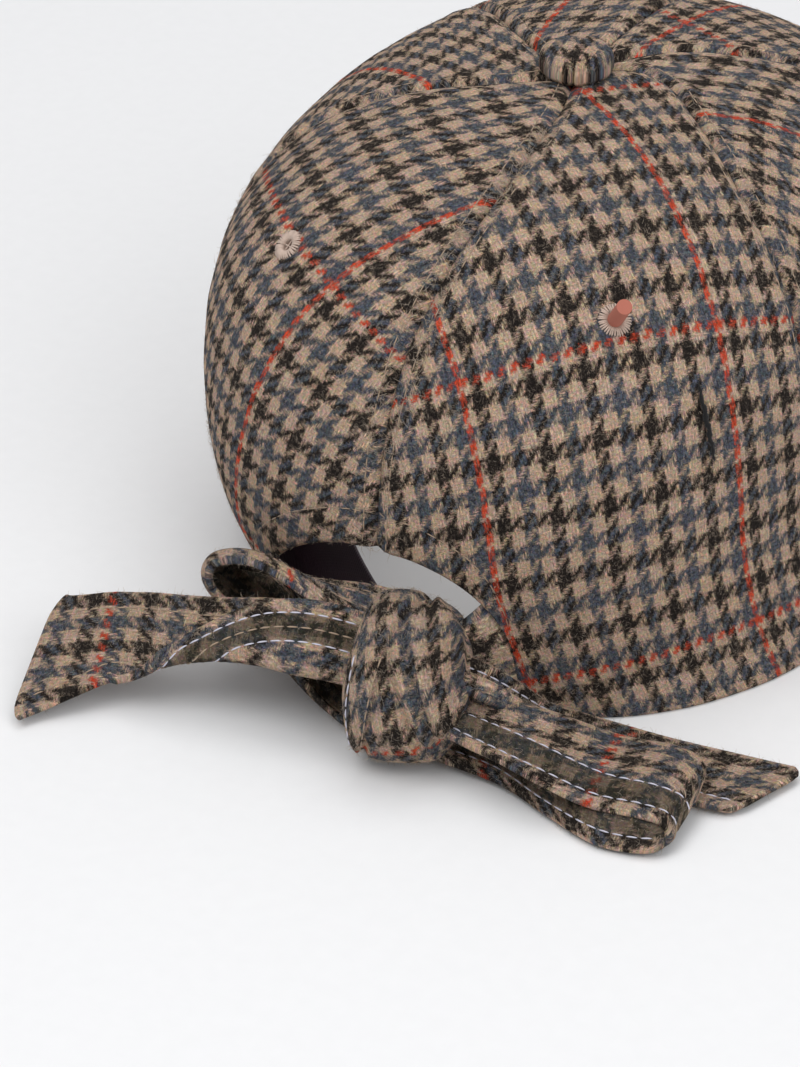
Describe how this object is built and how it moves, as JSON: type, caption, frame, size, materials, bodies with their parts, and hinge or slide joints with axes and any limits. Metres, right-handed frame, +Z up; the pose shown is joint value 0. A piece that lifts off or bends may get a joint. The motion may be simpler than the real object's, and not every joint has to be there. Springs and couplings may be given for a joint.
{
  "type": "cloth cap",
  "caption": "Panelled soft cloth cap with a domed crown, a plain front peak, sewn eyelets, a covered top button and an arched back opening closed by tied cloth strips in a bow.",
  "frame": {"origin": "centre of the bounding box in plan, on the surface that the hem lies on", "axes": "+Z up, the peak points toward -Y, the tied back opening toward +Y, and the wearer's right is -X"},
  "size_m": [0.1838, 0.3266, 0.128],
  "materials": {
    "tweed": "brushed checked wool twill",
    "tie_tweed": "brushed checked wool twill, hemmed and topstitched",
    "eyelet_thread": "matt embroidery thread",
    "band_satin": "dark purple satin"
  },
  "bodies": {
    "root": {"button": "tweed", "eyelet_front_left": "eyelet_thread", "eyelet_front_right": "eyelet_thread", "eyelet_rear_left": "eyelet_thread", "eyelet_rear_right": "eyelet_thread", "eyelet_side_left": "eyelet_thread", "eyelet_side_right": "eyelet_thread", "knot": "tie_tweed", "loop_left": "tie_tweed", "loop_right": "tie_tweed", "panel_front_left": "tweed", "panel_front_right": "tweed", "panel_rear_left": "tweed", "panel_rear_right": "tweed", "panel_side_left": "tweed", "panel_side_right": "tweed", "peak": "tweed", "sweatband": "band_satin", "tail_left": "tie_tweed", "tail_right": "tie_tweed", "tie_left": "tie_tweed", "tie_right": "tie_tweed"}
  },
  "joints": []
}
